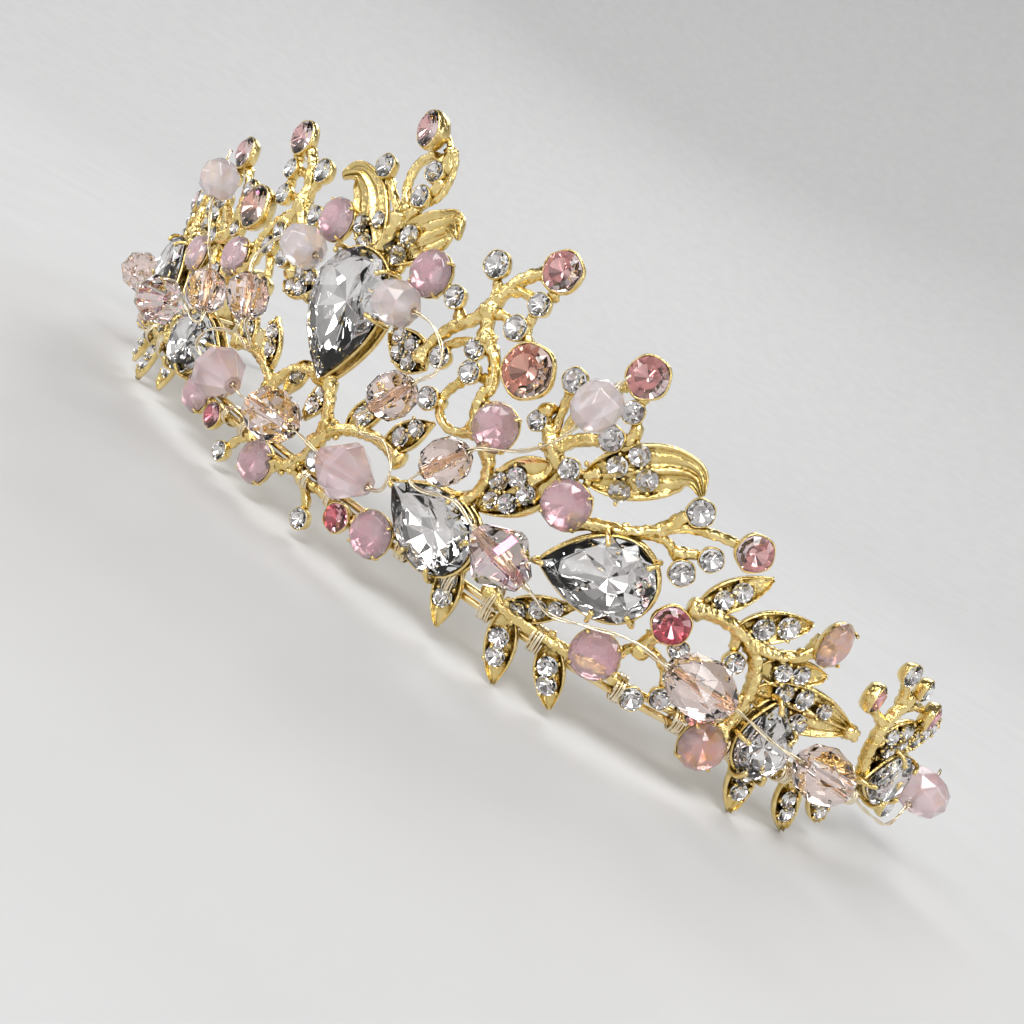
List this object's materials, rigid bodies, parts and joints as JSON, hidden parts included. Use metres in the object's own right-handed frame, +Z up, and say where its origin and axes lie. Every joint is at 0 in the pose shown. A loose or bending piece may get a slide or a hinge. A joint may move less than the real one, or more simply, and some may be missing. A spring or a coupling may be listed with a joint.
{
  "type": "bridal tiara",
  "caption": "Bridal tiara: a bent double-wire rail carrying gilt sprays of leaves and cups, claw-set pear crystals, opals in cups and faceted beads on thin wires.",
  "frame": {"origin": "middle of the bounding box in plan, on the plane through the lowest leaf tips, on which the tiara stands", "axes": "+X to the right as seen from in front, across the head; -Y out of the front of the tiara, so +Y points to the back of the head; +Z up"},
  "size_m": [0.1754, 0.0698, 0.056],
  "materials": {
    "cast_gold": "pale champagne gold plate, highly polished",
    "rail_gold": "pale champagne gold plate, highly polished round wire",
    "wire_gold": "bright thin gold craft wire",
    "clear_crystal": "clear cut crystal with a foiled back",
    "opal_glass": "milky pink opal glass with orange and gold fire, faceted",
    "pale_pink_glass": "opaque pale pink glass, finely faceted",
    "rose_pink_glass": "milky rose pink glass, faceted",
    "clear_peach_glass": "clear peach glass, faceted",
    "clear_pink_glass": "clear pink glass, faceted"
  },
  "bodies": {
    "frame": {"lower_rail_wire": "rail_gold", "upper_rail_wire": "rail_gold", "centre_spray": "cast_gold", "inner_bead_wire": "wire_gold", "centre_pear_crystal": "clear_crystal", "centre_opal": "opal_glass", "inner_spray_right": "cast_gold", "middle_spray_right": "cast_gold", "rail_spray_right": "cast_gold", "outer_spray_right": "cast_gold", "end_spray_right": "cast_gold", "outer_bead_wire_right": "wire_gold", "inner_pear_crystal_right": "clear_crystal", "middle_pear_crystal_right": "clear_crystal", "outer_pear_crystal_right": "clear_crystal", "end_pear_crystal_right": "clear_crystal", "upper_opal_right": "opal_glass", "shoulder_opal_right": "opal_glass", "middle_opal_right": "opal_glass", "rail_opal_right": "opal_glass", "flank_opal_right": "opal_glass", "outer_opal_right": "opal_glass", "tip_opal_right": "opal_glass", "inner_spray_left": "cast_gold", "middle_spray_left": "cast_gold", "rail_spray_left": "cast_gold", "outer_spray_left": "cast_gold", "end_spray_left": "cast_gold", "outer_bead_wire_left": "wire_gold", "inner_pear_crystal_left": "clear_crystal", "middle_pear_crystal_left": "clear_crystal", "outer_pear_crystal_left": "clear_crystal", "end_pear_crystal_left": "clear_crystal", "upper_opal_left": "opal_glass", "shoulder_opal_left": "opal_glass", "middle_opal_left": "opal_glass", "rail_opal_left": "opal_glass", "flank_opal_left": "opal_glass", "outer_opal_left": "opal_glass", "tip_opal_left": "opal_glass"},
    "centre_bead": {"centre_bead": "clear_peach_glass"},
    "crown_bead_right": {"crown_bead_right": "pale_pink_glass"},
    "rose_bead_right": {"rose_bead_right": "rose_pink_glass"},
    "inner_bead_right": {"inner_bead_right": "clear_peach_glass"},
    "lower_bead_right": {"lower_bead_right": "clear_peach_glass"},
    "flank_bead_right": {"flank_bead_right": "clear_pink_glass"},
    "high_bead_right": {"high_bead_right": "pale_pink_glass"},
    "outer_bead_right": {"outer_bead_right": "clear_peach_glass"},
    "side_bead_right": {"side_bead_right": "clear_peach_glass"},
    "end_bead_right": {"end_bead_right": "rose_pink_glass"},
    "crown_bead_left": {"crown_bead_left": "pale_pink_glass"},
    "rose_bead_left": {"rose_bead_left": "rose_pink_glass"},
    "inner_bead_left": {"inner_bead_left": "clear_peach_glass"},
    "lower_bead_left": {"lower_bead_left": "clear_peach_glass"},
    "flank_bead_left": {"flank_bead_left": "clear_pink_glass"},
    "high_bead_left": {"high_bead_left": "pale_pink_glass"},
    "outer_bead_left": {"outer_bead_left": "clear_peach_glass"},
    "side_bead_left": {"side_bead_left": "clear_peach_glass"},
    "end_bead_left": {"end_bead_left": "rose_pink_glass"}
  },
  "joints": [
    {"name": "centre_bead_spin", "type": "hinge", "parent": "frame", "child": "centre_bead", "pos_m": [-0.00021, -0.03125, 0.0127], "axis": [0.9988, -0.0015, 0.0481], "continuous": true},
    {"name": "crown_bead_right_spin", "type": "hinge", "parent": "frame", "child": "crown_bead_right", "pos_m": [0.00955, -0.03106, 0.0336], "axis": [0.9956, 0.0666, 0.0662], "continuous": true},
    {"name": "rose_bead_right_spin", "type": "hinge", "parent": "frame", "child": "rose_bead_right", "pos_m": [0.01426, -0.03014, 0.0125], "axis": [0.9947, 0.1, 0.0241], "continuous": true},
    {"name": "inner_bead_right_spin", "type": "hinge", "parent": "frame", "child": "inner_bead_right", "pos_m": [0.01556, -0.03056, 0.02375], "axis": [0.5661, 0.0619, 0.822], "continuous": true},
    {"name": "lower_bead_right_spin", "type": "hinge", "parent": "frame", "child": "lower_bead_right", "pos_m": [0.02611, -0.0288, 0.02065], "axis": [0.5961, 0.1108, 0.7952], "continuous": true},
    {"name": "flank_bead_right_spin", "type": "hinge", "parent": "frame", "child": "flank_bead_right", "pos_m": [0.03778, -0.02659, 0.0148], "axis": [0.9297, 0.2546, -0.2662], "continuous": true},
    {"name": "high_bead_right_spin", "type": "hinge", "parent": "frame", "child": "high_bead_right", "pos_m": [0.03844, -0.02595, 0.03525], "axis": [0.2694, 0.0752, 0.9601], "continuous": true},
    {"name": "outer_bead_right_spin", "type": "hinge", "parent": "frame", "child": "outer_bead_right", "pos_m": [0.062, -0.01457, 0.0139], "axis": [0.7807, 0.621, -0.0699], "continuous": true},
    {"name": "side_bead_right_spin", "type": "hinge", "parent": "frame", "child": "side_bead_right", "pos_m": [0.07586, 0.00059, 0.01075], "axis": [0.5364, 0.8333, -0.1339], "continuous": true},
    {"name": "end_bead_right_spin", "type": "hinge", "parent": "frame", "child": "end_bead_right", "pos_m": [0.08413, 0.02555, 0.0115], "axis": [0.101, 0.6717, 0.7339], "continuous": true},
    {"name": "crown_bead_left_spin", "type": "hinge", "parent": "frame", "child": "crown_bead_left", "pos_m": [-0.00955, -0.03106, 0.0336], "axis": [-0.9956, 0.0666, 0.0662], "continuous": true},
    {"name": "rose_bead_left_spin", "type": "hinge", "parent": "frame", "child": "rose_bead_left", "pos_m": [-0.01426, -0.03014, 0.0125], "axis": [-0.9947, 0.1, 0.0241], "continuous": true},
    {"name": "inner_bead_left_spin", "type": "hinge", "parent": "frame", "child": "inner_bead_left", "pos_m": [-0.01556, -0.03056, 0.02375], "axis": [-0.5661, 0.0619, 0.822], "continuous": true},
    {"name": "lower_bead_left_spin", "type": "hinge", "parent": "frame", "child": "lower_bead_left", "pos_m": [-0.02611, -0.0288, 0.02065], "axis": [-0.5961, 0.1108, 0.7952], "continuous": true},
    {"name": "flank_bead_left_spin", "type": "hinge", "parent": "frame", "child": "flank_bead_left", "pos_m": [-0.03778, -0.02659, 0.0148], "axis": [-0.9297, 0.2546, -0.2662], "continuous": true},
    {"name": "high_bead_left_spin", "type": "hinge", "parent": "frame", "child": "high_bead_left", "pos_m": [-0.03844, -0.02595, 0.03525], "axis": [-0.2694, 0.0752, 0.9601], "continuous": true},
    {"name": "outer_bead_left_spin", "type": "hinge", "parent": "frame", "child": "outer_bead_left", "pos_m": [-0.062, -0.01457, 0.0139], "axis": [-0.7807, 0.621, -0.0699], "continuous": true},
    {"name": "side_bead_left_spin", "type": "hinge", "parent": "frame", "child": "side_bead_left", "pos_m": [-0.07586, 0.00059, 0.01075], "axis": [-0.5364, 0.8333, -0.1339], "continuous": true},
    {"name": "end_bead_left_spin", "type": "hinge", "parent": "frame", "child": "end_bead_left", "pos_m": [-0.08413, 0.02555, 0.0115], "axis": [-0.101, 0.6717, 0.7339], "continuous": true}
  ]
}
